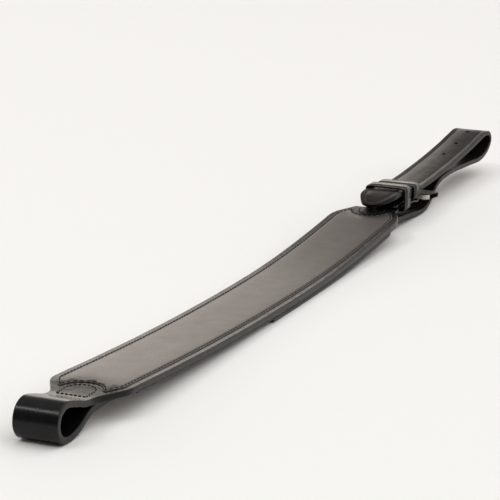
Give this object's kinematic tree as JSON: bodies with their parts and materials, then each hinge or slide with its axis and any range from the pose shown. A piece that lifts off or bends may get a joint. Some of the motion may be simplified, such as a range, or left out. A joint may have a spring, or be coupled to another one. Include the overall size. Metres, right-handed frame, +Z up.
{
  "type": "martingale girth strap",
  "caption": "Black leather martingale strap: padded panel with a sewn fixed loop at one end and a buckled, adjustable girth loop with keepers at the other.",
  "frame": {"origin": "centre of the bounding box at its bottom, on the surface that the strap lies on", "axes": "+X from the fixed loop towards the girth loop, +Y across the strap, +Z up through the facing"},
  "size_m": [0.6428, 0.046, 0.0303],
  "materials": {
    "bridle_leather": "satin, burnished and waxed",
    "grained_leather": "fine printed grain, satin",
    "lining_leather": "soft, matt",
    "felt": "pressed wool felt",
    "waxed_thread": "waxed, twisted",
    "nickel": "polished"
  },
  "bodies": {
    "panel": {"base_leather": "bridle_leather", "facing_leather": "grained_leather", "panel_felt": "felt", "panel_lining": "lining_leather", "belly_reinforcement": "lining_leather", "facing_seam": "waxed_thread", "fixed_loop_seam": "waxed_thread", "girth_end_seam": "waxed_thread", "chape_sewn_end": "bridle_leather", "girth_strap_sewn_end": "bridle_leather"},
    "girth_loop": {"girth_strap": "bridle_leather", "buckle_chape": "bridle_leather", "chape_seam_left": "waxed_thread", "chape_seam_right": "waxed_thread", "fixed_keeper": "bridle_leather", "fixed_keeper_seam": "waxed_thread"},
    "running_keeper": {"running_keeper": "bridle_leather", "running_keeper_seam": "waxed_thread"},
    "buckle_frame": {"buckle_frame": "nickel"},
    "buckle_tongue": {"buckle_tongue": "nickel"}
  },
  "joints": [
    {"name": "girth_loop_swing", "type": "hinge", "parent": "panel", "child": "girth_loop", "pos_m": [0.12748, 0, 0.0062], "axis": [0, 1, 0], "range_deg": [-4, 25]},
    {"name": "running_keeper_slide", "type": "slide", "parent": "girth_loop", "child": "running_keeper", "axis": [1, 0, 0], "range_m": [-0.004, 0.006]},
    {"name": "buckle_frame_pivot", "type": "hinge", "parent": "girth_loop", "child": "buckle_frame", "pos_m": [0.17558, 0, 0.0133], "axis": [0, -1, 0], "range_deg": [0, 3.5]},
    {"name": "buckle_tongue_pivot", "type": "hinge", "parent": "buckle_frame", "child": "buckle_tongue", "pos_m": [0.17558, 0, 0.0133], "axis": [0, -1, 0], "range_deg": [0, 2.5]}
  ]
}
